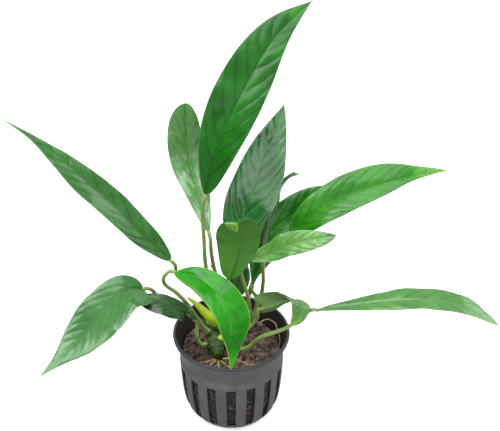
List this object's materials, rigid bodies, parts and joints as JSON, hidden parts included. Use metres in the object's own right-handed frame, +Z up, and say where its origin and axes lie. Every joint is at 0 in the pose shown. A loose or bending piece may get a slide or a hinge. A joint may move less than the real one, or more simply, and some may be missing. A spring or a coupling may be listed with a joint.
{
  "type": "potted anubias",
  "caption": "Live anubias plant with long-stalked pointed leaves on a creeping rhizome, growing in peaty soil in a small slotted round net pot.",
  "frame": {"origin": "centre of the pot's flat base, where it stands", "axes": "+Z up, +Y to the back; the drooping front leaf hangs towards -Y and the low long leaf reaches to +X"},
  "size_m": [0.2244, 0.0847, 0.1984],
  "materials": {
    "pot_plastic": "fine matte, moulded",
    "soil_peat": "moist crumbly peat",
    "rhizome_skin": "ringed, satin",
    "shoot_skin": "smooth satin sheath",
    "sheath_skin": "dry, withered sheath",
    "root_skin": "matt fibrous",
    "leaf_green": "glossy leaf, quilted veins",
    "leaf_bright": "glossy young leaf",
    "leaf_matte": "leaf underside, matt",
    "leaf_blue": "dark glossy leaf",
    "stem_green": "satin stalk"
  },
  "bodies": {
    "root": {"pot": "pot_plastic", "soil": "soil_peat", "rhizome": "rhizome_skin", "shoot": "shoot_skin", "bud": "shoot_skin", "old_sheath": "sheath_skin", "root_left_a": "root_skin", "root_left_b": "root_skin", "root_foot_a": "root_skin", "root_foot_b": "root_skin", "root_foot_c": "root_skin", "root_foot_d": "root_skin", "root_foot_e": "root_skin", "root_wall": "root_skin", "blade_tall": "leaf_green", "stalk_tall": "stem_green", "blade_upright_left": "leaf_green", "stalk_upright_left": "stem_green", "blade_upright_mid": "leaf_blue", "stalk_upright_mid": "stem_green", "blade_front_round": "leaf_matte", "stalk_front_round": "stem_green", "blade_back_right": "leaf_green", "stalk_back_right": "stem_green", "blade_right_long": "leaf_bright", "stalk_right_long": "stem_green", "blade_right_twisted": "leaf_green", "stalk_right_twisted": "stem_green", "blade_right_low": "leaf_green", "stalk_right_low": "stem_green", "blade_right_folded": "leaf_green", "stalk_right_folded": "stem_green", "blade_front_droop": "leaf_bright", "stalk_front_droop": "stem_green", "blade_left_long": "leaf_green", "stalk_left_long": "stem_green", "blade_left_droop": "leaf_green", "stalk_left_droop": "stem_green", "blade_left_striped": "leaf_blue", "stalk_left_striped": "stem_green", "blade_back_narrow": "leaf_blue", "stalk_back_narrow": "stem_green", "blade_inner": "leaf_blue", "stalk_inner": "stem_green"}
  },
  "joints": []
}
